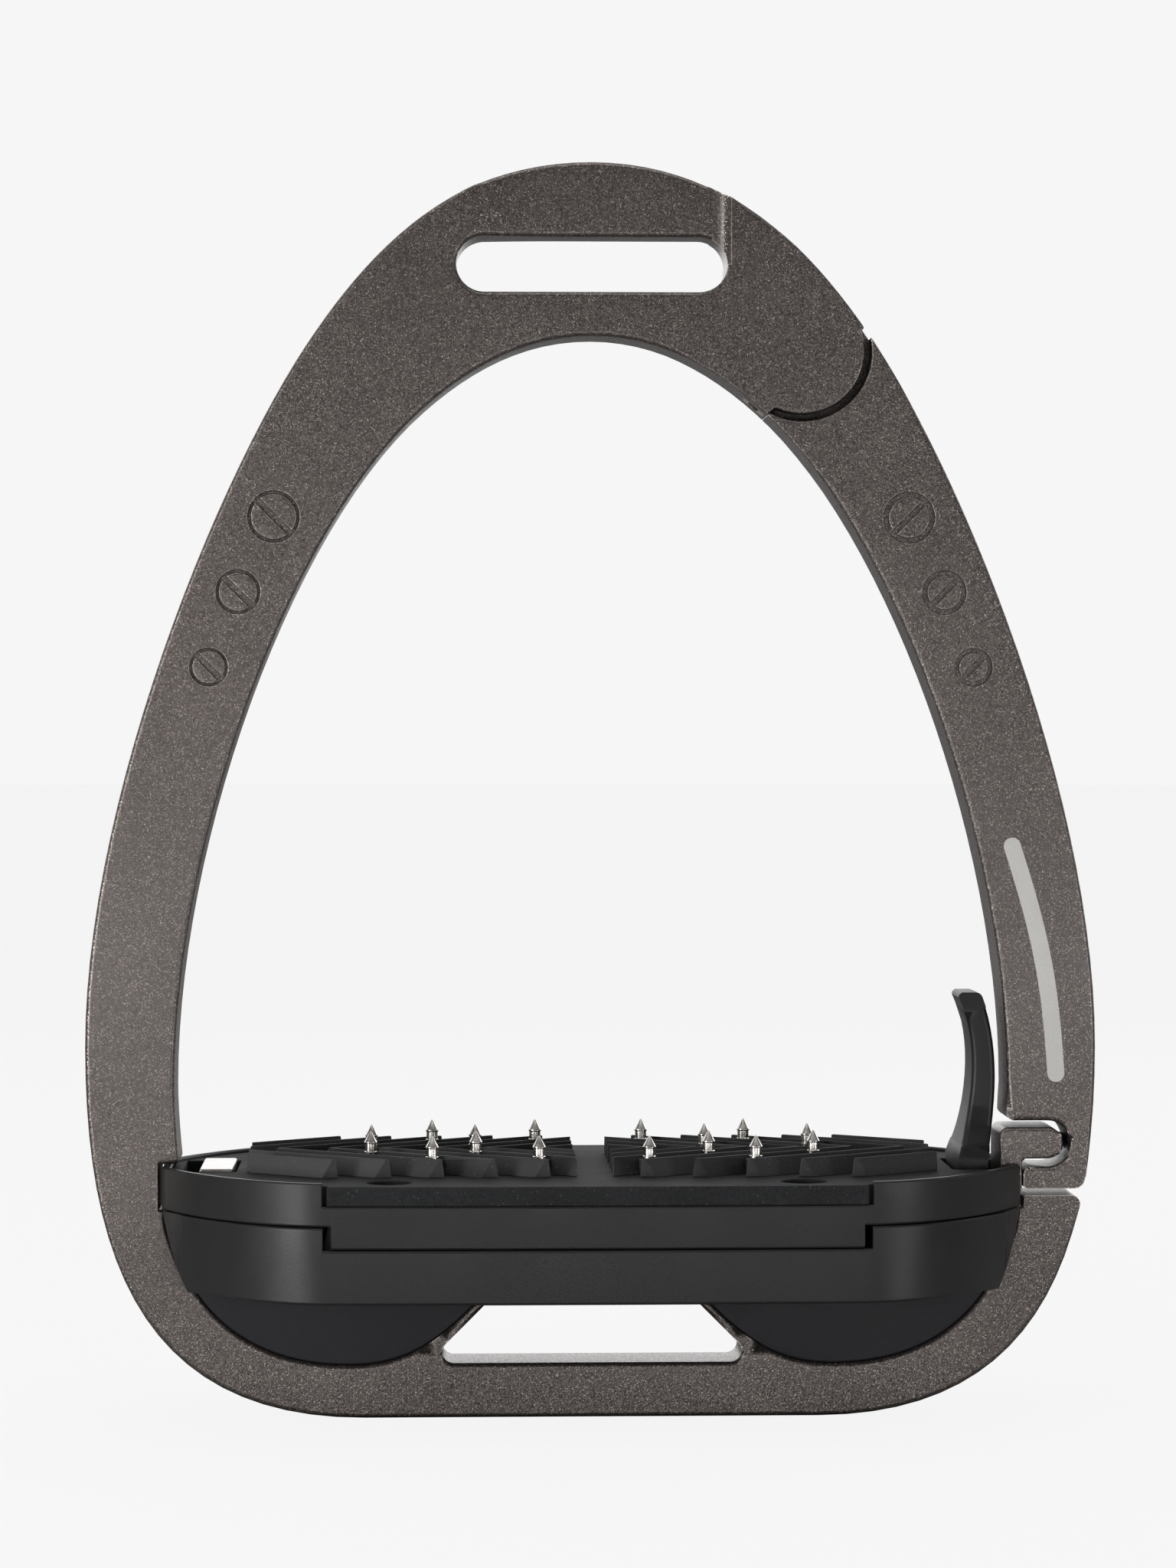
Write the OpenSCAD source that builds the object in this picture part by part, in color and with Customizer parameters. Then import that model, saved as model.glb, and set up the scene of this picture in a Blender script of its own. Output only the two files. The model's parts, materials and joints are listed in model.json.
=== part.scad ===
// Safety stirrup iron: a forged ring whose outer branch swings open at a fork hinge.
// X runs along the tread, Y from front to back, Z up. Origin at the centre of the base.

/* [Frame] */
// Thickness of the frame and the arm, front to back
frame_t = 11; // [10.5:0.5:12]
// Overall height
frame_h = 184.4; // [183:0.2:186]
// Largest half width
frame_half_w = 74.25; // [74:0.25:76]
// Depth of the relief on each face of the leather bar
bar_relief = 1.7; // [1:0.1:2.2]
// Depth of the engraved screw motifs
motif_depth = 0.5; // [0.3:0.1:0.8]

/* [Leather slot] */
// Length of the slot
slot_l = 39.8; // [36:0.2:40]
// Height of the slot
slot_h = 8.2; // [7:0.2:8.6]
// Height of the slot's centre line
slot_z = 169.3; // [169:0.1:170]

/* [Hinge] */
// Radius of the fork's round ears
ear_r = 9.2; // [9:0.1:9.3]
// Radius of the arm's concave shoulder
shoulder_r = 10.3; // [10.1:0.1:10.4]
// Thickness of the arm's eye
eye_t = 3.4; // [3:0.2:3.6]
// Radius of the hinge pin
pin_r = 2.5; // [2:0.1:2.8]

/* [Tread] */
// Depth of the tread, front to back
tread_d = 60.8; // [58:0.4:62]
// Height of the tread plate's top
plate_z = 36.6; // [36.4:0.1:36.8]
// Height of the rubber ribs
rib_h = 2.7; // [2.1:0.1:3]
// Distance from one rib to the next
rib_pitch = 7.65; // [7.4:0.05:7.8]
// How far the studs' tips stand above the ribs
stud_proud = 2.9; // [2:0.1:4]

/* [Hidden] */
$fn = 48;
half_t = frame_t / 2;
past = 1;
nib = 0.01;

// Hinge, notch and latch places, as [x, z]
pivot = [30.8, 156.6];
notch_c = [67.2, 40];
notch_r = 3.4;
nose_c = [67.2, 40.1];
nose_r = 2.3;
stub_z = 32.4;
foot_z = 33.4;
jaw_x = 63.6;
jaw_top = 36.6;

// Fork hinge stack
fork_gap = 4;
ear_web = 1.5;
bush_r = pin_r + 1.1;
pin_play = 0.05;
swing_clear = 0.15;

// Base bar, window and platform
platform_z = 19.8;
window_top = 17.3;
window_z = 8;
window_line = 32.4;
window_r = 1.7;
window_top_r = 1.5;

// Footbed layers
plate_under = 33.8;
shell_top = 27.6;
rim_z = 37.1;
end_seam_z = 30.8;
seam = 0.1;
plate_half_l = 38.4;
rim_start = 39;
tray_low_half_l = 37.8;
shell_high_start = 38.9;
rim_w = 1.3;
tip_x = 63;
tip_y = 6.3;

// Lever, tongue and pocket places
lever_c = [56.3, 33.9];
lever_hub_r = 2.3;
lever_pin_r = 1;
pocket_x0 = 52.9;
pocket_x1 = 60;
pocket_y = 8.3;
pocket_floor = 31.2;
insert_x = [52.6, 57.4];
insert_pocket_x0 = 52.1;
tongue_x = 60.1;
tongue_foot_y = [9.6, 8.1];
tongue_foot_x = [50, 54.6, 60];
tongue_floor = 26;
tongue_screw = [52.3, 7.8];
detent_r = 1.2;
detent_x = 69.55;
detent_bore_x = 62;

// Fasteners
tread_screw = [29.6, 23.7];
platform_screw_x = 9;
keel_screw_x = 36;
screw_r = 1.5;
screw_head_r = 2.8;

// Studs: [x, y] of one quarter, then mirrored
stud_places = [[8, 13.3], [23.5, 13.3], [17.1, 5.35], [32.5, 5.35]];
stud_r = 0.8;

// Ribs
rib_apex0 = -60.8;
rib_x0 = -50.4;
rib_x1 = -2.6;
rib_reach = 18;
rib_angle = 37;
rib_w = 1.5;
rib_count = 8;
collar_r = 1.55;
collar_h = 2.2;

function bezier(p, n) = [
    for (i = [0 : n - 1])
        let (t = i / n, s = 1 - t)
            s * s * s * p[0] + 3 * s * s * t * p[1] + 3 * s * t * t * p[2] + t * t * t * p[3]
];
function arc(c, r, a0, a1, n) = [
    for (i = [0 : n]) let (a = a0 + (a1 - a0) * i / n) c + r * [cos(a), sin(a)]
];
function mirrored(pts) = [for (i = [len(pts) - 1 : -1 : 0]) [-pts[i][0], pts[i][1]]];
function without_last(pts) = [for (i = [0 : len(pts) - 2]) pts[i]];

// Right half of the ring's outer edge, from the base up to the crown
outer_half = concat(
    bezier([[33.4, 0], [64.4, 0], [frame_half_w, 21.2], [frame_half_w, 54.4]], 22),
    bezier([[frame_half_w, 54.4], [frame_half_w, 90.8], [54.8, 137.8], [41.8, 157.4]], 26),
    bezier([[41.8, 157.4], [32.2, 171.9], [19.8, frame_h], [0, frame_h]], 22),
    [[0, frame_h]]
);

// Right half of the foot opening's edge, from its crown down to the tray's socket
inner_half = concat(
    bezier([[0, 158.7], [9.7, 158.7], [17.6, 154.4], [24.7, 148.1]], 12),
    bezier([[24.7, 148.1], [44.2, 130.9], [61.2, 84.3], [61.2, 48.6]], 28),
    bezier([[61.2, 48.6], [61.2, 45.6], [60.9, 41], [60.5, 37.4]], 5),
    [[60.5, 37.4], [63.5, 37.4], [63.5, end_seam_z]]
);

// Right half of the keel recess, from the tray's socket to the platform
keel_half = concat(
    bezier([[62.9, 30.7], [61.1, 21.7], [55.3, 7.8], [35.6, 7.8]], 22),
    bezier([[35.6, 7.8], [28, 7.8], [23.4, 10.5], [17.6, 16.3]], 9),
    [[17.6, 16.3], [33.9 - platform_z, platform_z]]
);

// Quarter of the footbed's plan, from the middle of the back edge to the tip
function plan_quarter(inset) = concat(
    bezier([[0, tread_d / 2 - inset], [14, tread_d / 2 - inset],
            [26, tread_d / 2 - 0.1 - inset], [38, tread_d / 2 - 0.6 - inset]], 6),
    bezier([[38, tread_d / 2 - 0.6 - inset], [46.5 - 0.3 * inset, 29.4 - inset],
            [57.3 - 0.9 * inset, 19 - 0.5 * inset], [tip_x - inset, tip_y]], 18),
    [[tip_x - inset, tip_y]]
);

module from_xz(y0, y1) {
    translate([0, y1, 0]) rotate([90, 0, 0]) linear_extrude(y1 - y0) children();
}

module both_faces() {
    children();
    mirror([0, 1, 0]) children();
}

module both_ends() {
    children();
    mirror([1, 0, 0]) children();
}

module along_y(x, z, r, y0, y1) {
    translate([x, y1, z]) rotate([90, 0, 0]) cylinder(r = r, h = y1 - y0);
}

// What rounds an outside corner: the square outside a circle of radius r
module corner_cut(c, r, sx, sz) {
    translate(c) difference() {
        translate([sx > 0 ? 0 : -r - past, sz > 0 ? 0 : -r - past]) square(r + past);
        circle(r);
    }
}

module ring_profile() {
    difference() {
        polygon(concat(without_last(outer_half), mirrored(outer_half)));
        polygon(concat(inner_half, keel_half, mirrored(keel_half),
                       without_last(mirrored(inner_half))));
    }
}

// Everything of the ring that swings: past the hinge line and above the stub
module arm_zone(bottom) {
    polygon([[18.75, 141], [54.6, 173.1], [90, 173.1], [90, bottom], [40, bottom], [18.75, 100]]);
}

module window_profile() {
    low = [window_line - window_z - window_r * (1 + sqrt(2)), window_z + window_r];
    high = [window_line - window_top + window_top_r * (1 - sqrt(2)), window_top - window_top_r];
    half = concat(arc(low, window_r, -90, 45, 12), arc(high, window_top_r, 45, 90, 6));
    polygon(concat(half, mirrored(half)));
}

module slot_cut(y) {
    end_x = (slot_l - slot_h) / 2;
    for (s = [-1, 1]) along_y(s * end_x, slot_z, slot_h / 2, -y, y);
    translate([-end_x, -y, slot_z - slot_h / 2]) cube([2 * end_x, 2 * y, slot_h]);
}

// Relief on the front of the leather bar: a long soft ramp at the left, a cove at the right
module bar_relief_cut() {
    floor_y = -half_t + bar_relief;
    ramp_r = (13.6 * 13.6 + bar_relief * bar_relief) / (2 * bar_relief);
    ramp_a = asin(13.6 / ramp_r);
    translate([0, 0, slot_z]) linear_extrude(frame_h - slot_z + past) polygon(concat(
        [[-17.6, -half_t - past]],
        arc([-4, floor_y - ramp_r], ramp_r, 90 + ramp_a, 90, 8),
        [for (i = [0 : 8]) [16.4 + i / 2, floor_y - bar_relief * pow(i / 8, 5)]],
        [[20.4, -half_t - past]]
    ));
}

// An engraved slotted screw head: a ring groove and a slot turned by the given angle
module motif(x, z, outer_r, inner_r, turn) {
    face = -half_t + motif_depth;
    difference() {
        along_y(x, z, outer_r, -half_t - past, face);
        along_y(x, z, inner_r, -half_t - 2 * past, face + past);
    }
    translate([x, 0, z]) rotate([0, -turn, 0])
        translate([-inner_r - 0.2, -half_t - past, -0.45])
            cube([2 * inner_r + 0.4, past + motif_depth, 0.9]);
}

module motifs(side, groove) {
    both_faces() {
        motif(side * 46.6, 132.2, 3.8, 3.8 - groove * 0.8, side * 45);
        motif(side * 51.8, 121.2, 3.25, 3.25 - groove * 0.75, side * 45);
        motif(side * 56.1, 110.2, 2.8, 2.8 - groove * 0.7, side * 45);
    }
}

module screw(x, y, z_head, z_tip, r, head_r, head_h) {
    up = z_tip > z_head;
    translate([x, y, z_head]) mirror([0, 0, up ? 0 : 1]) difference() {
        union() {
            cylinder(r = r, h = abs(z_tip - z_head));
            cylinder(r1 = head_r, r2 = r, h = head_h);
        }
        translate([0, 0, -nib]) cylinder(r = 0.9, h = 1.1, $fn = 6);
    }
}

module screw_hole(x, y, z_head, z_tip, r, head_r, head_h) {
    up = z_tip > z_head;
    translate([x, y, z_head]) mirror([0, 0, up ? 0 : 1]) {
        cylinder(r = r, h = abs(z_tip - z_head) + 0.3);
        translate([0, 0, -nib]) cylinder(r1 = head_r + nib, r2 = r, h = head_h + nib);
    }
}

module platform_screw_set(hole) {
    both_ends() {
        if (hole) screw_hole(platform_screw_x, 0, window_top, 26, screw_r, screw_head_r, 1.5);
        else screw(platform_screw_x, 0, window_top, 26, screw_r, screw_head_r, 1.5);
    }
}

module frame() {
    color([0.32, 0.30, 0.28]) difference() {
        union() {
            from_xz(-half_t, half_t) difference() {
                ring_profile();
                arm_zone(stub_z);
                window_profile();
                corner_cut([72 - 1.3, stub_z - 1.3], 1.3, 1, 1);
            }
            from_xz(-half_t, half_t) intersection() {
                polygon(concat(without_last(outer_half), mirrored(outer_half)));
                translate(pivot) circle(ear_r);
            }
        }
        along_y(pivot[0], pivot[1], shoulder_r + swing_clear, -fork_gap / 2, fork_gap / 2);
        along_y(pivot[0], pivot[1], pin_r, -half_t + ear_web, half_t + past);
        translate([pivot[0], half_t, pivot[1]]) rotate([90, 0, 0])
            translate([0, 0, -nib]) cylinder(r1 = pin_r + 1.6 + nib, r2 = pin_r, h = 1.6 + nib);
        slot_cut(half_t + past);
        both_faces() bar_relief_cut();
        motifs(-1, 0.6);
        platform_screw_set(true);
    }
}

module arm_profile() {
    difference() {
        intersection() {
            ring_profile();
            arm_zone(foot_z);
        }
        translate([50, jaw_top]) square([notch_c[0] - 50, 2 * notch_r]);
        translate(notch_c) circle(notch_r);
        translate([50, foot_z - past]) square([jaw_x - 50, jaw_top - foot_z + 2 * past]);
        corner_cut([jaw_x + 1.2, jaw_top - 1.2], 1.2, -1, 1);
        corner_cut([jaw_x + 0.6, foot_z + 0.6], 0.6, -1, -1);
        corner_cut([72.7 - 1.6, foot_z + 1.6], 1.6, 1, -1);
        corner_cut([61 + 1.4, jaw_top + 2 * notch_r + 1.4], 1.4, -1, -1);
    }
}

module swing_arm() {
    color([0.30, 0.28, 0.26]) difference() {
        union() {
            from_xz(-half_t, half_t) difference() {
                arm_profile();
                translate(pivot) circle(shoulder_r);
            }
            from_xz(-eye_t / 2, eye_t / 2) {
                translate(pivot) circle(ear_r - 0.2);
                intersection() {
                    arm_profile();
                    translate(pivot) circle(shoulder_r + past);
                }
                intersection() {
                    polygon(concat(without_last(outer_half), mirrored(outer_half)));
                    translate(pivot) circle(shoulder_r);
                    translate(pivot) rotate(-105) square([20, 20]);
                }
                intersection() {
                    polygon(concat(without_last(outer_half), mirrored(outer_half)));
                    translate(pivot) circle(shoulder_r);
                    translate(pivot) rotate(-50) square([20, 20]);
                }
            }
        }
        along_y(pivot[0], pivot[1], bush_r, -half_t, half_t);
        translate([detent_x, 0, nose_c[1]]) sphere(r = 1.6);
        motifs(1, 1);
    }
}

module hinge_pin() {
    color("silver") difference() {
        union() {
            along_y(pivot[0], pivot[1], pin_r, -half_t + ear_web + 0.3, half_t);
            translate([pivot[0], half_t, pivot[1]]) rotate([90, 0, 0])
                cylinder(r1 = pin_r + 1.6, r2 = pin_r, h = 1.6);
        }
        translate([pivot[0], half_t + nib, pivot[1]]) rotate([90, 0, 0])
            cylinder(r = 1.7, h = 1.8, $fn = 6);
    }
}

module hinge_bush() {
    color([0.55, 0.42, 0.2]) difference() {
        along_y(pivot[0], pivot[1], bush_r, -eye_t / 2, eye_t / 2);
        along_y(pivot[0], pivot[1], pin_r + pin_play, -half_t, half_t);
    }
}

module hinge_washers() {
    color("gainsboro") both_faces() difference() {
        along_y(pivot[0], pivot[1], 5.4, -fork_gap / 2, -eye_t / 2 - 0.05);
        along_y(pivot[0], pivot[1], pin_r, -half_t, half_t);
    }
}

module plan(inset = 0) {
    quarter = plan_quarter(inset);
    back = concat(quarter, [for (i = [len(quarter) - 1 : -1 : 0]) [quarter[i][0], -quarter[i][1]]]);
    polygon(concat(back, [for (i = [len(back) - 2 : -1 : 1]) [-back[i][0], back[i][1]]]));
}

module slab(z0, z1, inset = 0) {
    translate([0, 0, z0]) linear_extrude(z1 - z0) plan(inset);
}

module span(half_l, z0, z1) {
    translate([-half_l, -tread_d, z0]) cube([2 * half_l, 2 * tread_d, z1 - z0]);
}

// The opening's profile below the tray, which trims the shell's ends like a hull
module hull_trim() {
    from_xz(-tread_d, tread_d) polygon(concat(
        [[62.9, end_seam_z + past]], keel_half, mirrored(keel_half), [[-62.9, end_seam_z + past]]
    ));
}

module tread_screw_set(hole) {
    both_ends() both_faces() {
        if (hole) screw_hole(tread_screw[0], tread_screw[1], plate_under + 1.2, 24, 1.5, 3, 1.5);
        else screw(tread_screw[0], tread_screw[1], plate_under + 1.2, 24, 1.5, 3, 1.5);
    }
}

module keel_screw_set(hole) {
    both_ends() {
        if (hole) screw_hole(keel_screw_x, 0, shell_top, 12, screw_r, screw_head_r, 1.5);
        else screw(keel_screw_x, 0, shell_top, 12, screw_r, screw_head_r, 1.5);
    }
}

module tongue_screw_set(hole) {
    both_faces() {
        if (hole) screw_hole(tongue_screw[0], tongue_screw[1], platform_z, 29, 1.25, 2.4, 1.3);
        else screw(tongue_screw[0], tongue_screw[1], platform_z, 29, 1.25, 2.4, 1.3);
    }
}

module footbed_shell() {
    color([0.20, 0.20, 0.21]) difference() {
        union() {
            intersection() {
                difference() {
                    slab(platform_z, end_seam_z);
                    span(shell_high_start, shell_top, end_seam_z + past);
                }
                hull_trim();
            }
            for (y = [-pocket_y - 2.2, pocket_y + 0.2])
                translate([lever_c[0] - 0.9, y, end_seam_z - past])
                    cube([1.8, 2, lever_c[1] - lever_pin_r - end_seam_z + past]);
        }
        translate([-0.2, 0, 0]) tongue_foot(0.2, 10);
        translate([0.2, 0, 0]) tongue_foot(0.2, 10);
        translate([60, -half_t - 0.1, tongue_floor + 2.8]) cube([10, frame_t + 0.2, 10]);
        platform_screw_set(true);
        keel_screw_set(true);
        tread_screw_set(true);
        tongue_screw_set(true);
    }
}

module keel_infill(side) {
    color([0.14, 0.14, 0.16]) difference() {
        from_xz(-half_t + 0.3, half_t - 0.3) intersection() {
            polygon(concat(keel_half, [[62.9, platform_z]]));
            translate([0, -past]) square([80, platform_z + past]);
        }
        if (side > 0) keel_screw_set(true);
        else mirror([1, 0, 0]) keel_screw_set(true);
    }
}

module keel_infill_left() {
    mirror([1, 0, 0]) keel_infill(-1);
}

module keel_infill_right() {
    keel_infill(1);
}

module end_pockets(floor_z) {
    translate([pocket_x0, -pocket_y, floor_z]) cube([pocket_x1 - pocket_x0, 2 * pocket_y, 10]);
    translate([-pocket_x1, -pocket_y, floor_z])
        cube([pocket_x1 - insert_pocket_x0, 2 * pocket_y, 10]);
    translate([pocket_x1 - past, -half_t - 0.1, floor_z]) cube([10, frame_t + 0.2, 20]);
}

module tread_tray() {
    color([0.22, 0.22, 0.23]) difference() {
        slab(shell_top + seam, rim_z);
        difference() {
            slab(shell_top, end_seam_z + seam, -past);
            span(tray_low_half_l, shell_top, end_seam_z + seam);
        }
        span(rim_start, plate_under, rim_z + past);
        translate([0, 0, plate_under]) linear_extrude(10) plan(rim_w);
        end_pockets(pocket_floor);
        translate([pocket_x1, -half_t - 0.1, end_seam_z]) cube([10, frame_t + 0.2, 20]);
        along_y(lever_c[0], lever_c[1], lever_pin_r, -pocket_y - 2.2, pocket_y + 2.2);
        translate([lever_c[0] - lever_pin_r, -pocket_y - 2.2, end_seam_z])
            cube([2 * lever_pin_r, 2 * pocket_y + 4.4, lever_c[1] - end_seam_z]);
        tread_screw_set(true);
    }
}

module tread_plate() {
    color([0.16, 0.16, 0.17]) difference() {
        translate([0, 0, plate_under]) linear_extrude(plate_z - plate_under) union() {
            intersection() {
                plan(0);
                square([2 * plate_half_l, 2 * tread_d], center = true);
            }
            plan(rim_w + 0.1);
        }
        end_pockets(plate_under - past);
        along_y(lever_c[0], lever_c[1], lever_pin_r, -pocket_y - 2.2, pocket_y + 2.2);
        both_ends() both_faces() translate([tread_screw[0], tread_screw[1], plate_under - past])
            cylinder(r = 3.25, h = 10);
        both_ends() grip_studs(0.05);
    }
}

// Half of a chevron rib: a sawtooth bar from its apex, sloping on the outer side
module rib_wing(x) {
    translate([x, 0, plate_z]) rotate([0, 0, -rib_angle]) rotate([90, 0, 90])
        translate([0, 0, -2 * rib_w]) linear_extrude(40) polygon([
            [-rib_w, 0], [-0.35 * rib_w, rib_h], [-0.15 * rib_w, rib_h], [0, 0]
        ]);
}

// The front half of a group of ribs, cut off square at its ends
module rib_field() {
    intersection() {
        union() for (i = [0 : rib_count - 1]) rib_wing(rib_apex0 + i * rib_pitch);
        translate([rib_x0, -rib_reach, plate_z]) cube([rib_x1 - rib_x0, rib_reach, 10]);
    }
}

module grip_ribs_left() {
    color([0.13, 0.13, 0.13]) difference() {
        union() {
            both_faces() rib_field();
            for (p = stud_places, s = [-1, 1]) translate([-p[0], s * p[1], plate_z])
                cylinder(r = collar_r, h = collar_h);
        }
        grip_studs(0.05);
    }
}

module grip_ribs_right() {
    mirror([1, 0, 0]) grip_ribs_left();
}

module grip_studs(play) {
    tip_z = plate_z + rib_h + stud_proud;
    for (p = stud_places, s = [-1, 1]) translate([-p[0], s * p[1], plate_under])
        rotate_extrude() polygon([
            [0, 0], [stud_r + play, 0], [stud_r + play, tip_z - 1.5 - plate_under],
            [stud_r + 0.15, tip_z - 1.3 - plate_under], [0.08, tip_z - plate_under],
            [0, tip_z - plate_under]
        ]);
}

module grip_studs_left() {
    color("silver") grip_studs(0);
}

module grip_studs_right() {
    mirror([1, 0, 0]) grip_studs_left();
}

module tread_screws() {
    color([0.2, 0.2, 0.2]) tread_screw_set(false);
}

module platform_screws() {
    color("silver") platform_screw_set(false);
}

module keel_screws() {
    color("silver") keel_screw_set(false);
}

module tongue_screws() {
    color("silver") tongue_screw_set(false);
}

// The lever's side outline, and how its width tapers towards the top
module lever_profile() {
    inner = bezier([[54.1, 61.6], [56.7, 56], [56.9, 48], [53.5, 37.5]], 14);
    outer = bezier([[58, 37.5], [59.9, 45.5], [60.3, 54.5], [57.6, 61.7]], 14);
    polygon(concat(
        [[54.2, 62], [54.1, 61.6]], inner, [[53.5, 37.5], [53.8, lever_c[1]]],
        [[58.4, lever_c[1]]], outer, [[57.6, 61.7], [57.3, 62.1], [56.7, 62.3], [54.6, 62.3]]
    ));
    translate(lever_c) circle(lever_hub_r);
}

module lever_width() {
    half = [[7.7, 31], [7.7, 38.4], [6.6, 40.4], [5.5, 42.6], [4.9, 45.5], [4.6, 60], [4.4, 62.4]];
    polygon(concat(half, mirrored(half)));
}

module trip_lever() {
    color([0.10, 0.10, 0.11]) difference() {
        intersection() {
            from_xz(-10, 10) lever_profile();
            translate([70, 0, 0]) rotate([0, 0, 90]) rotate([90, 0, 0]) mirror([0, 0, 1])
                linear_extrude(30) lever_width();
        }
        along_y(lever_c[0], lever_c[1], lever_pin_r + pin_play, -10, 10);
        along_y(lever_c[0], lever_c[1], lever_hub_r + 0.4, -2.2, 2.2);
    }
}

module lever_pin() {
    color("silver") along_y(lever_c[0], lever_c[1], lever_pin_r, -pocket_y - 2, pocket_y + 2);
}

// A round wire swept along a helix about Z
module helix(coil_r, wire_r, pitch, turns) {
    steps = 14;
    sides = 6;
    n = turns * steps;
    rings = [for (i = [0 : n]) let (a = 360 * i / steps) [
        for (j = [0 : sides - 1]) let (b = 360 * j / sides, r = coil_r + wire_r * cos(b))
            [r * cos(a), r * sin(a), pitch * i / steps + wire_r * sin(b)]
    ]];
    polyhedron(
        points = [for (ring = rings) each ring],
        faces = concat(
            [[for (j = [0 : sides - 1]) j]],
            [for (i = [0 : n - 1], j = [0 : sides - 1]) let (k = (j + 1) % sides)
                [i * sides + j, (i + 1) * sides + j, (i + 1) * sides + k, i * sides + k]],
            [[for (j = [sides - 1 : -1 : 0]) n * sides + j]]
        ),
        convexity = 4
    );
}

module lever_spring() {
    color("silver") translate([lever_c[0], 1.75, lever_c[1]]) rotate([90, 0, 0])
        helix(1.6, 0.25, 0.7, 5);
}

module tongue_profile() {
    polygon(concat(
        arc(nose_c, nose_r, 90, -90, 16),
        [[63.9, nose_c[1] - nose_r]], [[63.4, nose_c[1] - nose_r - 0.5]],
        [[63.4, 33.2], [61.4, 30], [60.2, 29], [60.2, tongue_floor], [50, tongue_floor],
         [50, 30.6], [tongue_x, 30.6]],
        arc([tongue_x + 1.2, nose_c[1] + nose_r - 1.2], 1.2, 180, 90, 6)
    ));
}

// The tongue's foot: wide at its inner end, narrower between the lever pin's posts
module tongue_foot(play, h) {
    for (i = [0, 1])
        translate([tongue_foot_x[0], -tongue_foot_y[i] - play, tongue_floor])
            cube([tongue_foot_x[i + 1] - tongue_foot_x[0], 2 * tongue_foot_y[i] + 2 * play, h]);
}

module latch_tongue() {
    color([0.34, 0.31, 0.28]) difference() {
        union() {
            from_xz(-half_t, half_t) tongue_profile();
            tongue_foot(0, 30.6 - tongue_floor);
        }
        translate([detent_bore_x, 0, nose_c[1]]) rotate([0, 90, 0])
            cylinder(r = detent_r + pin_play, h = 20);
        tongue_screw_set(true);
    }
}

module detent_ball() {
    color("silver") translate([detent_x, 0, nose_c[1]]) sphere(r = detent_r);
}

module detent_spring() {
    color("silver") translate([detent_bore_x + 1.5, 0, nose_c[1]]) rotate([0, 90, 0])
        helix(0.8, 0.2, 0.8, 6);
}

module pocket_insert() {
    color([0.72, 0.72, 0.72]) difference() {
        translate([-insert_x[1], -pocket_y + 0.3, pocket_floor])
            cube([insert_x[1] - insert_x[0], 2 * pocket_y - 0.6, rim_z - 0.1 - pocket_floor]);
        translate([-insert_x[1] - past, -20, rim_z - 1.1]) rotate([0, -40, 0]) cube([3, 40, 2]);
    }
}

frame();
swing_arm();
hinge_pin();
hinge_bush();
hinge_washers();
footbed_shell();
keel_infill_left();
keel_infill_right();
tread_tray();
tread_plate();
grip_ribs_left();
grip_ribs_right();
grip_studs_left();
grip_studs_right();
tread_screws();
platform_screws();
keel_screws();
trip_lever();
lever_pin();
lever_spring();
latch_tongue();
tongue_screws();
detent_ball();
detent_spring();
pocket_insert();
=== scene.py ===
import json
import math

import bmesh
import bpy
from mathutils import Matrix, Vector
from mathutils.geometry import delaunay_2d_cdt


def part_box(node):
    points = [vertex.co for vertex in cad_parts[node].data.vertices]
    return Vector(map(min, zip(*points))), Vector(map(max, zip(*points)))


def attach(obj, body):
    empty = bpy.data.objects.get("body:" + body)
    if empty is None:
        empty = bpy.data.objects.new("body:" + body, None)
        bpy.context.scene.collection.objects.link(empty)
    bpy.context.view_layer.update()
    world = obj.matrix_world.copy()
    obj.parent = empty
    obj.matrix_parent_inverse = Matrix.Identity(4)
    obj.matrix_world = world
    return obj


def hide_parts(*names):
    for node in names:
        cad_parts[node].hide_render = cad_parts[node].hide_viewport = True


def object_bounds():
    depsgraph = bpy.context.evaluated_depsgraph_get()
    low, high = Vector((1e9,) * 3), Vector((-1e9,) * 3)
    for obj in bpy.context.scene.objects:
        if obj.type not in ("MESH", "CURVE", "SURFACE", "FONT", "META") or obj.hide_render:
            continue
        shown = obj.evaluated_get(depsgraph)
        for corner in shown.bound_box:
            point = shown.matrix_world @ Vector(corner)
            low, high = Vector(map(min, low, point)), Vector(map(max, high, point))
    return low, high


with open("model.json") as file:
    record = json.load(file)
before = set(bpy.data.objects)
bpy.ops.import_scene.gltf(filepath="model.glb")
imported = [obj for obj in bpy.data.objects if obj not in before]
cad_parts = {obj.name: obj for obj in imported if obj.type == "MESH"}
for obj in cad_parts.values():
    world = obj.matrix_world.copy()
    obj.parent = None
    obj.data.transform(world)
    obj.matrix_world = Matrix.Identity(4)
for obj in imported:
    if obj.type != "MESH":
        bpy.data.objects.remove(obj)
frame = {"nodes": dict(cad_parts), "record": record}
cad_low, cad_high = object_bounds()
mm = 0.001
scene = bpy.context.scene


# ---------------------------------------------------------------- camera and light

def aim(obj, direction):
    obj.rotation_euler = Vector(direction).to_track_quat("-Z", "Y").to_euler()


camera_pan, camera_tilt = math.radians(2.05), math.radians(0.89)
camera = bpy.data.objects.new("camera", bpy.data.cameras.new("camera"))
scene.collection.objects.link(camera)
camera.location = (-0.0237, -0.650, 0.1031)
camera.data.sensor_width = 36
camera.data.lens = 100.99
camera.data.clip_start = 0.01
camera.data.clip_end = 50
aim(camera, (math.sin(camera_pan) * math.cos(camera_tilt),
             math.cos(camera_pan) * math.cos(camera_tilt), -math.sin(camera_tilt)))
scene.camera = camera
scene.view_settings.view_transform = "Standard"
scene.view_settings.look = "None"

PAPER = 0.923  # the pale grey of the backdrop, in linear light
GLOW_WIDTH = 8.0  # the power of the cosine that narrows the glow behind the object


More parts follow.
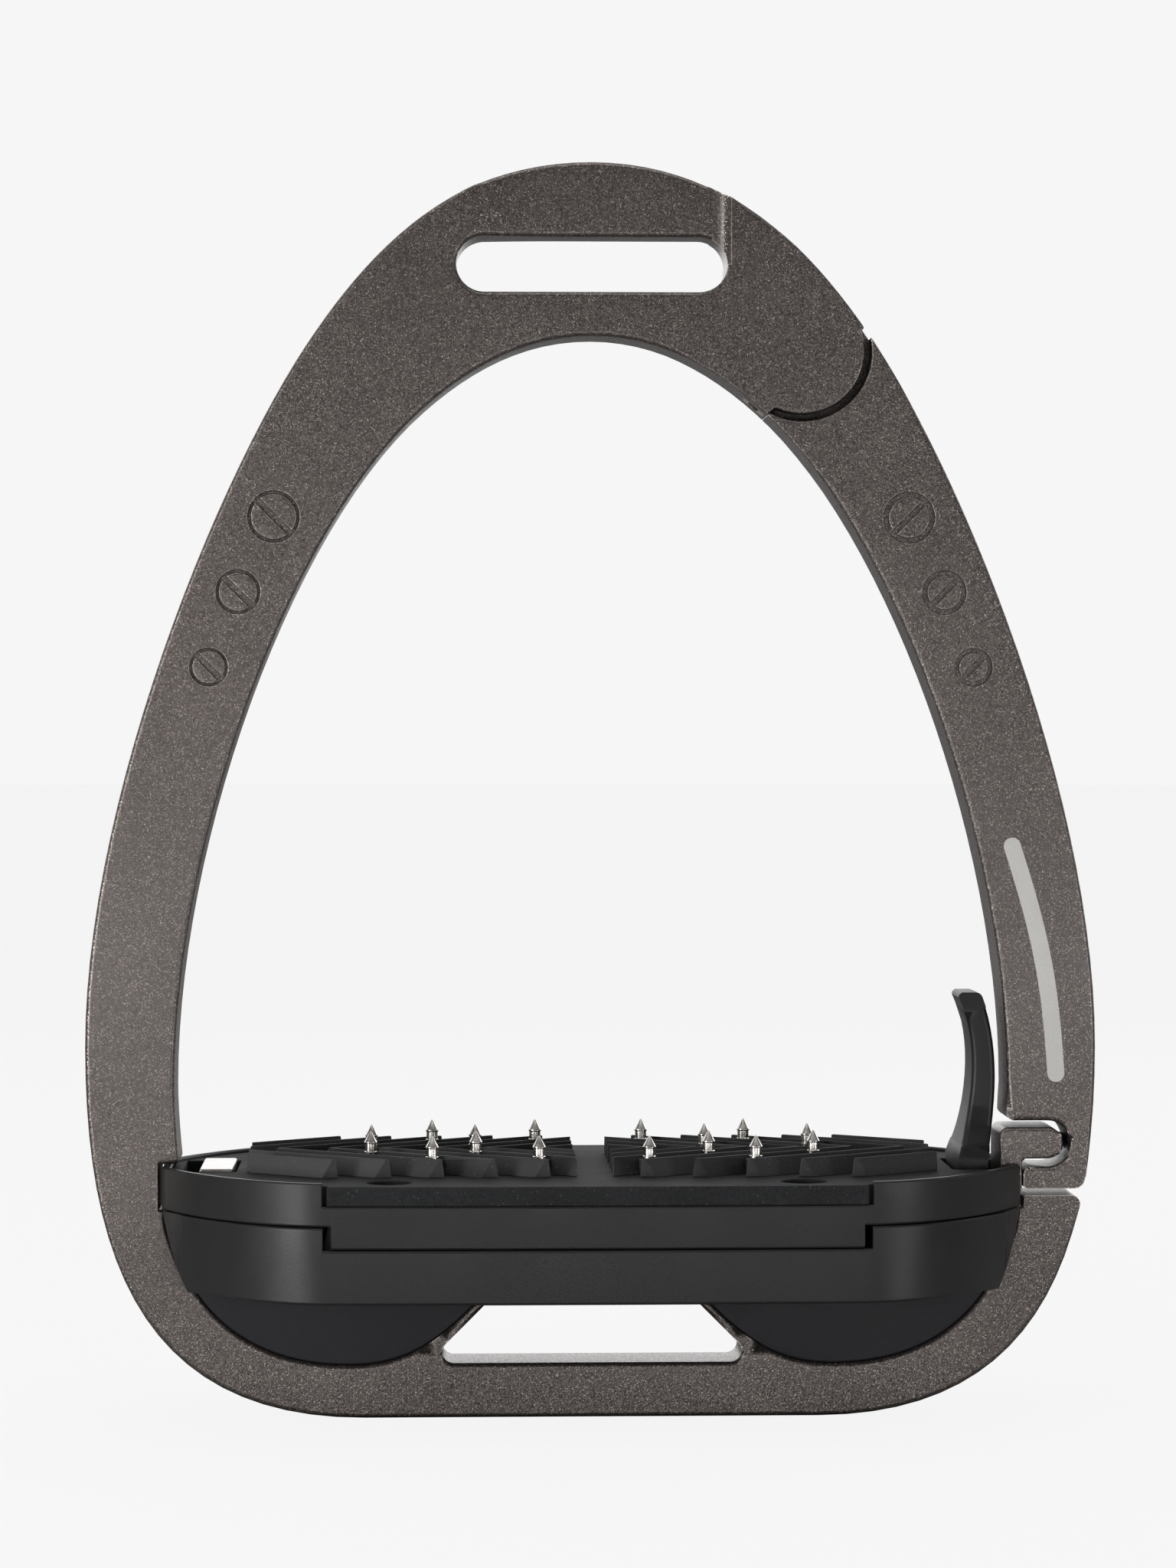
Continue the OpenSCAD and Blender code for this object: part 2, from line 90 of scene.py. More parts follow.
class Tree:
    """Builds a node tree: each call adds a node, sets its values and links its inputs."""

    def __init__(self, tree):
        self.tree = tree
        tree.nodes.clear()

    def add(self, kind, values=None, **settings):
        node = self.tree.nodes.new(kind)
        for key, value in settings.items():
            setattr(node, key, value)
        for key, value in (values or {}).items():
            if isinstance(value, bpy.types.NodeSocket):
                self.tree.links.new(value, node.inputs[key])
            else:
                node.inputs[key].default_value = value
        return node

    def math(self, operation, a, b=0.0):
        return self.add("ShaderNodeMath", {0: a, 1: b}, operation=operation).outputs[0]

    def ramp(self, value, stops):
        node = self.add("ShaderNodeValToRGB", {0: value})
        points = node.color_ramp.elements
        while len(points) < len(stops):
            points.new(0.5)
        for point, (place, level) in zip(points, stops):
            point.position = place
            point.color = (*level, 1) if isinstance(level, tuple) else (level, level, level, 1)
        return node.outputs[0]


def make_world(levels, backdrop):
    """A soft studio: a broad lobe of light from each side in levels, and a glow behind."""
    world = bpy.data.worlds.new("studio")
    scene.world = world
    world.use_nodes = True
    t = Tree(world.node_tree)
    direction = t.add("ShaderNodeTexCoord").outputs["Generated"]
    split = t.add("ShaderNodeSeparateXYZ", {0: direction})
    total = 0.0
    for side, level in levels.items():
        part = t.math("MULTIPLY", split.outputs[side[1]], 1.0 if side[0] == "+" else -1.0)
        part = t.math("MAXIMUM", part, 0.0)
        part = t.math("MULTIPLY", t.math("MULTIPLY", part, part), level)
        total = t.math("ADD", total, part)
    glow = t.math("POWER", t.math("MAXIMUM", split.outputs["Y"], 0.0), GLOW_WIDTH)
    total = t.math("ADD", total, t.math("MULTIPLY", glow, backdrop))
    white = (1, 1, 1, 1)
    lit = t.add("ShaderNodeBackground", {"Color": white, "Strength": total})
    plain = t.add("ShaderNodeBackground", {"Color": white, "Strength": PAPER})
    mixed = t.add("ShaderNodeMixShader", {0: t.add("ShaderNodeLightPath").outputs[0],
                                          1: lit.outputs[0], 2: plain.outputs[0]})
    t.add("ShaderNodeOutputWorld", {0: mixed.outputs[0]})


def area_light(name, place, target, size, power):
    data = bpy.data.lights.new(name, "AREA")
    data.shape = "RECTANGLE"
    data.size, data.size_y = size
    data.energy = power
    light = bpy.data.objects.new(name, data)
    scene.collection.objects.link(light)
    light.location = place
    aim(light, Vector(target) - Vector(place))
    light.visible_camera = False


make_world({"-X": 0.2, "+X": 0.3, "-Y": 0.06, "+Y": 0.3, "+Z": 0.3}, backdrop=2.0)
for name, place, target, size, power in (
        ("top_box", (0, -0.1, 0.9), (0, 0, 0.1), (0.9, 0.7), 2.9),
        ("left_mid", (-0.45, -0.34, 0.21), (-0.03, 0, 0.11), (0.2, 0.4), 1.1),
        ("left_low", (-0.40, -0.34, 0.04), (-0.06, 0, 0.02), (0.2, 0.1), 0.95),
        ("right_low", (0.44, -0.34, 0.04), (0.06, 0, 0.02), (0.2, 0.1), 0.6),
        ("front_low", (0.0, -0.50, 0.02), (0, 0, 0.03), (0.5, 0.1), 0.66),
        ("back_left", (-0.5, 0.5, 0.35), (0, 0, 0.1), (0.4, 0.6), 0.8),
        ("back_right", (0.5, 0.5, 0.35), (0, 0, 0.1), (0.4, 0.6), 1.4)):
    area_light(name, place, target, size, power)


# ---------------------------------------------------------------- materials

def material(name):
    made = bpy.data.materials.new(name)
    made.use_nodes = True
    return made, Tree(made.node_tree)


def noise(t, place, scale, detail=2.0, roughness=0.5):
    return t.add("ShaderNodeTexNoise", {"Vector": place, "Scale": scale, "Detail": detail,
                                        "Roughness": roughness}).outputs["Fac"]


def bump(t, height, strength, distance):
    return t.add("ShaderNodeBump", {"Height": height, "Strength": strength,
                                    "Distance": distance}).outputs[0]


def shader(t, **values):
    made = t.add("ShaderNodeBsdfPrincipled", {k.replace("_", " "): v for k, v in values.items()})
    t.add("ShaderNodeOutputMaterial", {0: made.outputs[0]})
    return made


def mix_colour(t, share, a, b):
    node = t.add("ShaderNodeMix", data_type="RGBA")
    for key, value in ((0, share), (6, a), (7, b)):
        if isinstance(value, bpy.types.NodeSocket):
            t.tree.links.new(value, node.inputs[key])
        else:
            node.inputs[key].default_value = (*value, 1) if isinstance(value, tuple) else value
    return node.outputs[2]


def painted_gap_shade(t, reach):
    """Painted shade mask: 1 in the open and 0 deep in a gap, where the colour is darkened and the
    gloss dulled to stand in for the shade that falls there.
    """
    shade = t.add("ShaderNodeAmbientOcclusion", {"Distance": reach}, samples=6)
    return t.ramp(shade.outputs["AO"], [(0.22, 0.0), (0.62, 1.0)])


def outer_edge(t, reach):
    """1 along convex edges and 0 elsewhere: the mask of a painted highlight that brightens the
    coat's colour where an edge catches the light.
    """
    depth = t.add("ShaderNodeAmbientOcclusion", {"Distance": reach}, samples=6, inside=True)
    return t.ramp(depth.outputs["AO"], [(0.50, 1.0), (0.90, 0.0)])


def powder_coat():
    """Metallic powder coat: fine flakes at their own tilts under a faint orange peel."""
    made, t = material("powder_coat")
    place = t.add("ShaderNodeTexCoord").outputs["Object"]
    flakes = t.add("ShaderNodeTexVoronoi", {"Vector": place, "Scale": 7600.0}).outputs["Color"]
    tilt = t.add("ShaderNodeVectorMath", {0: flakes, 1: (0.5, 0.5, 0.5)},
                 operation="SUBTRACT").outputs[0]
    tilt = t.add("ShaderNodeVectorMath", {0: tilt, "Scale": 0.36}, operation="SCALE").outputs[0]
    sparkle = t.ramp(t.add("ShaderNodeSeparateXYZ", {0: flakes}).outputs[0],
                     [(0.0, 0.62), (0.62, 0.88), (0.84, 1.2), (0.97, 2.8)])
    grain = noise(t, place, 2300, 3)
    drift = noise(t, place, 60, 2)
    tone = t.math("ADD", t.math("MULTIPLY", grain, 0.6), t.math("MULTIPLY", drift, 0.4))
    colour = t.ramp(tone, [(0.3, (0.116, 0.100, 0.092)), (0.7, (0.164, 0.142, 0.131))])
    # painted shade: deep in gaps the coat's colour darkens
    unshaded = painted_gap_shade(t, 0.0016)
    # painted highlight: the coat's colour is up to four times brighter along convex edges
    highlight_gain = t.math("ADD", t.math("MULTIPLY", outer_edge(t, 0.00022), 3.0), 1.0)
    strength = t.math("MULTIPLY", t.math("MULTIPLY", sparkle, unshaded), highlight_gain)
    colour = t.add("ShaderNodeVectorMath", {0: colour, "Scale": strength},
                   operation="SCALE").outputs[0]
    peel = bump(t, noise(t, place, 1100, 2), 0.4, 0.00005)
    normal = t.add("ShaderNodeVectorMath", {0: peel, 1: tilt}, operation="ADD").outputs[0]
    normal = t.add("ShaderNodeVectorMath", {0: normal}, operation="NORMALIZE").outputs[0]
    gloss = t.ramp(grain, [(0.3, 0.36), (0.7, 0.46)])
    # painted shade: the coat turns dull deep in gaps
    gloss = t.math("MAXIMUM", gloss, t.math("SUBTRACT", 1.0, unshaded))
    shader(t, Base_Color=colour, Metallic=0.9, Roughness=gloss, Normal=normal,
           Coat_Weight=0.3, Coat_Roughness=0.24)
    return made


def moulded(name, dark, light, gloss, grain_scale, depth, fleck=0.0, pale_edge_highlight=0.0, shine=0.36):
    """Moulded plastic or rubber: a spark-eroded grain, faint flow marks and pale flecks."""
    made, t = material(name)
    place = t.add("ShaderNodeTexCoord").outputs["Object"]
    grain = noise(t, place, grain_scale, 3, 0.6)
    flow = noise(t, place, 90, 3)
    tone = t.math("ADD", t.math("MULTIPLY", grain, 0.6), t.math("MULTIPLY", flow, 0.4))
    colour = t.ramp(tone, [(0.32, dark), (0.68, light)])
    if fleck:
        cells = t.add("ShaderNodeTexVoronoi", {"Vector": place, "Scale": 1500.0})
        spot = t.ramp(cells.outputs["Distance"], [(0.0, 1.0), (0.22, 0.0)])
        odd = t.add("ShaderNodeSeparateXYZ", {0: cells.outputs["Color"]}).outputs[0]
        spot = t.math("MULTIPLY", spot, t.math("GREATER_THAN", odd, 0.72))
        colour = mix_colour(t, t.math("MULTIPLY", spot, fleck), colour, (0.16, 0.16, 0.16))
    # painted highlight: the colour pales towards grey along convex edges
    if pale_edge_highlight:
        edge = t.ramp(t.add("ShaderNodeNewGeometry").outputs["Pointiness"],
                      [(0.50, 0.0), (0.60, 1.0)])
        colour = mix_colour(t, t.math("MULTIPLY", edge, pale_edge_highlight), colour, (0.10, 0.10, 0.10))
    rough = t.ramp(flow, [(0.3, gloss[0]), (0.7, gloss[1])])
    shader(t, Base_Color=colour, Roughness=rough, Specular_IOR_Level=shine,
           Normal=bump(t, grain, 0.6, depth))
    return made


def turned_steel():
    """Bright lathe-turned steel with fine rings round the stud."""
    made, t = material("turned_steel")
    place = t.add("ShaderNodeTexCoord").outputs["Object"]
    rings = t.add("ShaderNodeTexWave", {"Vector": place, "Scale": 2600.0, "Distortion": 0.4,
                                        "Detail": 2.0}, bands_direction="Z").outputs["Fac"]
    smudge = noise(t, place, 700, 2)
    colour = t.ramp(smudge, [(0.3, (0.42, 0.40, 0.37)), (0.7, (0.66, 0.64, 0.61))])
    shader(t, Base_Color=colour, Metallic=1.0, Normal=bump(t, rings, 0.12, 0.000004),
           Roughness=t.ramp(smudge, [(0.3, 0.16), (0.7, 0.30)]))
    return made


def plain_metal(name, dark, light, gloss, stretch=(1, 1, 1), scale=800.0, depth=0.00001):
    """Machined or blackened metal with a fine directional grain."""
    made, t = material(name)
    place = t.add("ShaderNodeMapping", {0: t.add("ShaderNodeTexCoord").outputs["Object"],
                                        "Scale": stretch}).outputs[0]
    grain = noise(t, place, scale, 3)
    shader(t, Base_Color=t.ramp(grain, [(0.3, dark), (0.7, light)]), Metallic=1.0,
           Roughness=t.ramp(grain, [(0.3, gloss[0]), (0.7, gloss[1])]),
           Normal=bump(t, grain, 0.3, depth))
    return made


COAT = powder_coat()
SHELL = moulded("shell_black", (0.0076, 0.0076, 0.0084), (0.0137, 0.0137, 0.0152),
                (0.34, 0.44), 3800, 0.00002)
TRAY = moulded("tray_black", (0.0076, 0.0076, 0.0076), (0.0144, 0.0144, 0.0144),
               (0.36, 0.48), 3800, 0.00002)
KEEL = moulded("keel_black", (0.0061, 0.0061, 0.0084), (0.0106, 0.0106, 0.0137),
               (0.50, 0.62), 3000, 0.00003)
PLATE = moulded("plate_grain", (0.0078, 0.0082, 0.0088), (0.0234, 0.0242, 0.0258),
                (0.66, 0.80), 2400, 0.00008, 0.5, shine=0.18)
# the rib rubber carries pale flecks and a painted highlight along its convex edges
RUBBER = moulded("rib_rubber", (0.0046, 0.0046, 0.0046), (0.0137, 0.0137, 0.0137),
                 (0.52, 0.70), 2600, 0.00007, 0.6, 0.35)
LEVER = moulded("lever_black", (0.0040, 0.0040, 0.0040), (0.0063, 0.0063, 0.0063),
                (0.38, 0.46), 2600, 0.00001)
STUD = turned_steel()
DARK_STEEL = plain_metal("black_steel", (0.02, 0.02, 0.021), (0.06, 0.06, 0.062), (0.30, 0.45))
STEEL = plain_metal("bright_steel", (0.45, 0.44, 0.43), (0.62, 0.61, 0.60), (0.22, 0.36))
BRONZE = plain_metal("bearing_bronze", (0.38, 0.25, 0.11), (0.55, 0.38, 0.18), (0.30, 0.42))
STRIPE = moulded("pale_print", (0.50, 0.49, 0.47), (0.62, 0.61, 0.59), (0.55, 0.7), 5200, 0.00004)
INSERT = plain_metal("insert_steel", (0.42, 0.40, 0.38), (0.60, 0.58, 0.56),
                     (0.26, 0.40), (1, 8, 1), 500)


# ---------------------------------------------------------------- finished meshes

BODY_OF = {n: b for b, members in frame["record"]["behaviour"]["bodies"].items() for n in members}
FLAT = math.radians(0.3)  # faces that meet at less than this are in one plane
CREASE = math.radians(6)  # edges that turn less than this are part of a smooth surface
SHARP = math.radians(28)  # convex edges that turn more than this are rounded
HARD = math.radians(35)  # edges that turn more than this are shaded as edges
FOLDED = math.radians(150)  # faces that turn more than this have folded over
ARC_STEPS = 3  # faces across a round
ROOM = 0.42  # the share of a face's width that one round may take
WELD = 1e-6


def cad_mesh(node):
    """The node's solid with welded corners."""
    bm = bmesh.new()
    bm.from_mesh(frame["nodes"][node].data)
    bmesh.ops.remove_doubles(bm, verts=bm.verts, dist=2 * WELD)
    bmesh.ops.dissolve_degenerate(bm, edges=bm.edges, dist=WELD)
    bmesh.ops.recalc_face_normals(bm, faces=bm.faces)
    return bm


def inward(edge, vert, face):
    """The direction in a face's plane from one of its edges into the face."""
    along = (edge.other_vert(vert).co - vert.co).normalized()
    side = face.normal.cross(along)
    middle = face.calc_center_median() - vert.co
    return side if side.dot(middle) > 0 else -side


def flat_regions(bm):
    """Numbers the faces so that those in one plane share a number."""
    number, count = {}, 0
    for seed in bm.faces:
        if seed in number:
            continue
        number[seed], stack = count, [seed]
        while stack:
            face = stack.pop()
            for edge in face.edges:
                if len(edge.link_faces) == 2 and edge.calc_face_angle(9) < FLAT:
                    for other in edge.link_faces:
                        if other not in number:
                            number[other] = count
                            stack.append(other)
        count += 1
    return number


def refill(polygons, normal):
    """Triangles between the outlines of a flat region, whose own faces may have folded over."""
    outline = set()
    for polygon in polygons:
        for a, b in zip(polygon, polygon[1:] + polygon[:1]):
            if (b, a) in outline:
                outline.remove((b, a))
            else:
                outline.add((a, b))
    verts = sorted({v for side in outline for v in side}, key=lambda v: tuple(v.co))
    index = {v: i for i, v in enumerate(verts)}
    outline = {(index[a], index[b]) for a, b in outline}
    right = normal.orthogonal().normalized()
    up = normal.cross(right)
    start = verts[0].co
    places = [Vector(((v.co - start).dot(right), (v.co - start).dot(up))) / mm for v in verts]
    if max(abs((v.co - start).dot(normal)) for v in verts) > 0.01 * mm:
        return polygons
    points, _, faces, sources, _, _ = delaunay_2d_cdt(places, sorted(outline), [], 0, 1e-8)
    if len(points) != len(places) or any(len(source) != 1 for source in sources):
        return polygons
    faces = [[sources[i][0] for i in face] for face in faces]
    sides = [list(zip(face, face[1:] + face[:1])) for face in faces]
    owner = {side: i for i, face in enumerate(sides) for side in face}
    inside = {owner[side] for side in outline if side in owner}
    stack = sorted(inside)
    while stack:
        for a, b in sides[stack.pop()]:
            other = owner.get((b, a))
            if (a, b) not in outline and other is not None and other not in inside:
                inside.add(other)
                stack.append(other)
    if any(side not in owner for side in outline):
        return polygons
    return [[verts[i] for i in faces[k]] for k in sorted(inside)]


def edge_radii(bm, radius, radius_at):
    """The radius of each convex sharp edge, no more than the faces beside it have room for."""
    region = flat_regions(bm)
    radii, borders = {}, {}
    for edge in bm.edges:
        if len(edge.link_faces) != 2:
            continue
        angle = edge.calc_face_angle_signed(0)
        if abs(angle) >= FLAT:
            for face in edge.link_faces:
                borders.setdefault(region[face], []).append(
                    (edge, (edge.verts[0].co + edge.verts[1].co) / 2,
                     inward(edge, edge.verts[0], face)))
        if angle > SHARP:
            wanted = radius if radius_at is None else radius_at(edge)
            if wanted > 0:
                radii[edge] = wanted
    for border in borders.values():
        for edge, middle, side in border:
            if edge not in radii:
                continue
            half = (edge.verts[1].co - edge.verts[0].co).length / 2
            along = (edge.verts[1].co - edge.verts[0].co).normalized()
            for other, place, facing in border:
                if side.dot(facing) > -0.3:
                    continue
                gap = place - middle
                reach = (other.verts[1].co - other.verts[0].co).length / 2
                if gap.dot(side) > 1e-6 and abs(gap.dot(along)) < half + reach:
                    radii[edge] = min(radii[edge], ROOM * gap.dot(side))
    for edge in list(radii):
        along = (edge.verts[1].co - edge.verts[0].co).normalized()
        for vert in edge.verts:
            for other in vert.link_edges:
                if other is edge or len(other.link_faces) != 2:
                    continue
                if abs(other.calc_face_angle_signed(0)) < CREASE:
                    continue
                side = other.other_vert(vert).co - vert.co
                if side.normalized().cross(along).length > 0.6:
                    radii[edge] = min(radii[edge], ROOM * side.length)
    return radii


def arc(start, corner, end):
    """Points of a circular round from start to end, whose tangents meet at corner."""
    a, b = start - corner, end - corner
    if a.length < 1e-9 or b.length < 1e-9:
        return [start.lerp(end, i / ARC_STEPS) for i in range(ARC_STEPS + 1)]
    weight = math.sin(a.angle(b, 0) / 2)
    points = []
    for i in range(ARC_STEPS + 1):
        t = i / ARC_STEPS
        u, v, w = (1 - t) ** 2, 2 * weight * t * (1 - t), t * t
        points.append((start * u + corner * v + end * w) / (u + v + w))
    return points


def fan(vert):
    """The loops round a vertex in order, or None where the surface isn't a plain fan."""
    loops, loop = [], vert.link_loops[0]
    for _ in range(len(vert.link_loops)):
        if len(loop.edge.link_loops) != 2:
            return None
        loops.append(loop)
        loop = loop.link_loop_radial_next.link_loop_next
        if loop.vert is not vert:
            return None
    return loops if loop is loops[0] else None


def inset_point(radii, first, last, n_first, n_last, creases, vert):
    """Where the corner of a sector moves to, relative to the vertex."""
    ra, rb = radii[first], radii[last]
    if len(creases) == 1:
        along = (creases[0].other_vert(vert).co - vert.co).normalized()
        reach = [r / n.dot(along) for r, n in ((ra, n_first), (rb, n_last)) if n.dot(along) > 0.2]
        if reach:
            return along * (sum(reach) / len(reach))
    c = n_first.dot(n_last)
    if c > 0.985:
        return (n_first + n_last).normalized() * (ra + rb) / 2
    if c < -0.95:
        return Vector((0, 0, 0))
    alpha = (ra - c * rb) / (1 - c * c)
    beta = (rb - c * ra) / (1 - c * c)
    point = n_first * alpha + n_last * beta
    limit = 3 * max(ra, rb)
    return point if point.length < limit else point.normalized() * limit


def rounded(bm, radius, radius_at):
    """A copy of a solid with its convex sharp edges rounded, where that folds nothing over."""
    bm.normal_update()
    radii = edge_radii(bm, radius, radius_at)
    wedges = {vert for edge in bm.edges if edge.calc_face_angle(0) > FOLDED for vert in edge.verts}
    while True:
        out, origin = round_edges(bm, radii)
        bmesh.ops.recalc_face_normals(out, faces=out.faces)
        out.normal_update()
        crowded = {origin[end] for edge in out.edges if edge.calc_face_angle(0) > FOLDED
                   for end in edge.verts} - wedges
        kept = {edge: r for edge, r in radii.items() if not crowded.intersection(edge.verts)}
        if len(kept) == len(radii):
            bm.free()
            return out
        radii = kept
        out.free()


def round_edges(bm, radii):
    """The solid with a round on each edge in radii, and the vertex each new one came from."""
    out = bmesh.new()
    corner, arcs, origin = {}, {}, {}
    vert = None

    def points(places):
        made = [out.verts.new(p) for p in places]
        for new in made:
            origin[new] = vert
        return made

    patches = []
    for vert in bm.verts:
        if not vert.link_loops:
            continue
        loops = fan(vert)
        cut = [i for i, l in enumerate(loops) if l.edge in radii] if loops else []
        n = len(loops) if loops else 0
        if not cut:
            made = points([vert.co])
            for loop in vert.link_loops:
                corner[loop] = made
            for edge in vert.link_edges:
                if edge in radii:
                    arcs[(edge, vert)] = made * (ARC_STEPS + 1)
            continue

        def crease(k):
            edge = loops[k % n].edge
            return edge not in radii and abs(edge.calc_face_angle_signed(0)) > CREASE

        if len(cut) == 1:
            i = cut[0]
            edge = loops[i].edge
            folds = [k for k in range(i + 1, i + n) if crease(k)]
            done = False
            if len(folds) >= 2:
                places = []
                for k, face in ((folds[-1], loops[i].face), (folds[0], loops[(i + 1) % n].face)):
                    along = (loops[k % n].edge.other_vert(vert).co - vert.co).normalized()
                    share = inward(edge, vert, face).dot(along)
                    if share > 0.2:
                        places.append(vert.co + along * radii[edge] / share)
                if len(places) == 2:
                    done = True
                    chain = points(arc(places[0], vert.co, places[1]))
                    arcs[(edge, vert)] = chain
                    for k in range(i + 1, i + n + 1):
                        if k <= folds[0]:
                            corner[loops[k % n]] = [chain[-1]]
                        elif k == folds[0] + 1:
                            corner[loops[k % n]] = chain[::-1]
                        else:
                            corner[loops[k % n]] = [chain[0]]
            if not done:
                made = points([vert.co])
                for loop in loops:
                    corner[loop] = made
                arcs[(edge, vert)] = made * (ARC_STEPS + 1)
            continue
        moved = {}
        for a, b in zip(cut, cut[1:] + [cut[0] + n]):
            first, last = loops[a].edge, loops[b % n].edge
            folds = [loops[k % n].edge for k in range(a + 1, b) if crease(k)]
            place = inset_point(radii, first, last,
                                inward(first, vert, loops[(a + 1) % n].face),
                                inward(last, vert, loops[b % n].face), folds, vert)
            made = points([vert.co + place])
            for k in range(a + 1, b + 1):
                corner[loops[k % n]] = made
            moved[a] = (place, made[0])
        ring = []
        for order, a in enumerate(cut):
            edge = loops[a].edge
            before, after = moved[cut[order - 1]], moved[a]
            along = (edge.other_vert(vert).co - vert.co).normalized()
            shift = Vector((0, 0, 0))
            if len(cut) > 2:
                shift = along * ((before[0] + after[0]) / 2).dot(along)
            places = arc(before[0], shift, after[0])[1:-1]
            if len(cut) == 2 and order == 1:
                twin = arcs[(loops[cut[0]].edge, vert)]
                chain = twin[::-1]
            else:
                chain = [before[1]] + points([vert.co + p for p in places]) + [after[1]]
            arcs[(edge, vert)] = chain
            ring += chain[:-1]
        if len(cut) > 2:
            patches.append((ring, vert))

    def face_of(verts):
        verts = [v for i, v in enumerate(verts) if v is not verts[i - 1]]
        if len(set(verts)) > 2 and len(set(verts)) == len(verts) and not out.faces.get(verts):
            out.faces.new(verts)

    flats, normals = {}, {}
    number = flat_regions(bm)
    for face in bm.faces:
        polygon = [v for loop in face.loops for v in corner[loop]]
        polygon = [v for i, v in enumerate(polygon) if v is not polygon[i - 1]]
        if len(polygon) > 2:
            flats.setdefault(number[face], []).append(polygon)
            area = normals.get(number[face], Vector()) + face.normal * face.calc_area()
            normals[number[face]] = area
    for key, polygons in flats.items():
        if len(polygons) > 1:
            polygons = refill(polygons, normals[key].normalized())
        for polygon in polygons:
            face_of(polygon)
    for edge in radii:
        loop = edge.link_loops[0]
        v1, v2 = loop.vert, loop.link_loop_next.vert
        near, far = arcs[(edge, v1)], arcs[(edge, v2)]
        for j in range(ARC_STEPS):
            face_of([far[ARC_STEPS - j], near[j], near[j + 1], far[ARC_STEPS - j - 1]])
    for ring, vert in patches:
        ring = ring[::-1]
        middle = sum((v.co for v in ring), Vector()) / len(ring)
        hub = points([middle.lerp(vert.co, 0.2)])[0]
        for a, b in zip(ring, ring[1:] + ring[:1]):
            face_of([a, b, hub])
    return out, origin


def add_piece(name, bm, look):
    mesh = bpy.data.meshes.new(name)
    bm.to_mesh(mesh)
    bm.free()
    mesh.materials.append(look)
    piece = bpy.data.objects.new(name, mesh)
    scene.collection.objects.link(piece)
    return piece


def finished(node, look, width, bm=None, radius_at=None):
    """A finished piece, with rounds of width mm, that stands for a CAD node and moves with it."""
    if bm is None:
        bm = cad_mesh(node)
    if width:
        bm = rounded(bm, width * mm, radius_at)
    bmesh.ops.remove_doubles(bm, verts=bm.verts, dist=WELD)
    bmesh.ops.dissolve_degenerate(bm, edges=bm.edges, dist=WELD)
    bmesh.ops.delete(bm, geom=[e for e in bm.edges if e.is_wire], context="EDGES")
    bmesh.ops.holes_fill(bm, edges=[e for e in bm.edges if e.is_boundary], sides=0)
    bmesh.ops.recalc_face_normals(bm, faces=bm.faces)
    for face in bm.faces:
        face.smooth = True
    for edge in bm.edges:
        edge.smooth = len(edge.link_faces) == 2 and edge.calc_face_angle(0) < HARD
    piece = add_piece(node + "_finished", bm, look)
    piece.modifiers.new("normals", "WEIGHTED_NORMAL").keep_sharp = True
    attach(piece, BODY_OF[node])
    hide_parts(node)


def islands(node):
    """The separate solids of a node: a (low, high) pair for each, sorted by place."""
    bm = cad_mesh(node)
    left, found = set(bm.verts), []
    while left:
        stack, group = [left.pop()], []
        while stack:
            vert = stack.pop()
            group.append(vert.co.copy())
            for edge in vert.link_edges:
                other = edge.other_vert(vert)
                if other in left:
                    left.remove(other)
                    stack.append(other)
        low = Vector(min(p[i] for p in group) for i in range(3))
        high = Vector(max(p[i] for p in group) for i in range(3))
        found.append((low, high))
    bm.free()
    return sorted(found, key=lambda b: (round(b[0].x, 5), round(b[0].y, 5)))


def lathe(bm, centre, profile, steps=32):
    """Adds a turned solid: profile is (radius, height) from its top to its bottom."""
    rings = []
    for radius, height in profile:
        if radius < 1e-9:
            rings.append([bm.verts.new(centre + Vector((0, 0, height)))])
        else:
            rings.append([bm.verts.new(centre + Vector((
                radius * math.cos(2 * math.pi * i / steps),
                radius * math.sin(2 * math.pi * i / steps), height))) for i in range(steps)])
    for upper, lower in zip(rings, rings[1:]):
        for i in range(steps):
            j = (i + 1) % steps
            corners = [upper[i % len(upper)], lower[i % len(lower)],
                       lower[j % len(lower)], upper[j % len(upper)]]
            bm.faces.new(list(dict.fromkeys(corners)))


def studs(node):
    """Turned studs: a cone and a short neck above the collar, on a plain shank."""
    above = [(0, 0), (0.09, 0.05), (0.16, 0.14), (0.90, 1.50), (0.95, 1.60), (0.95, 1.74),
             (0.91, 1.80), (0.84, 1.85), (0.84, 2.90)]
    collar, chamfer = 3.0 * mm, 0.2 * mm
    bm = bmesh.new()
    for low, high in islands(node):
        centre = Vector(((low.x + high.x) / 2, (low.y + high.y) / 2, 0))
        radius = (high.x - low.x) / 2
        profile = [(r * mm, high.z - depth * mm) for r, depth in above]
        profile += [(radius, high.z - collar), (radius, low.z + chamfer),
                    (radius - chamfer, low.z), (0, low.z)]
        lathe(bm, centre, profile)
    finished(node, STUD, 0, bm)


def coat_radius(edge):
    """The casting's edge round, finer beside the hinge gap and on the shallow engraving."""
    outer, near_hinge, engraved = 0.75 * mm, 0.3 * mm, 0.12 * mm
    depths = [v.co.y for face in edge.link_faces for v in face.verts]
    if max(depths) - min(depths) < 1 * mm:
        return engraved
    low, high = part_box("hinge_pin")
    middle = (edge.verts[0].co + edge.verts[1].co) / 2 - (low + high) / 2
    return near_hinge if math.hypot(middle.x, middle.z) < 17 * mm else outer


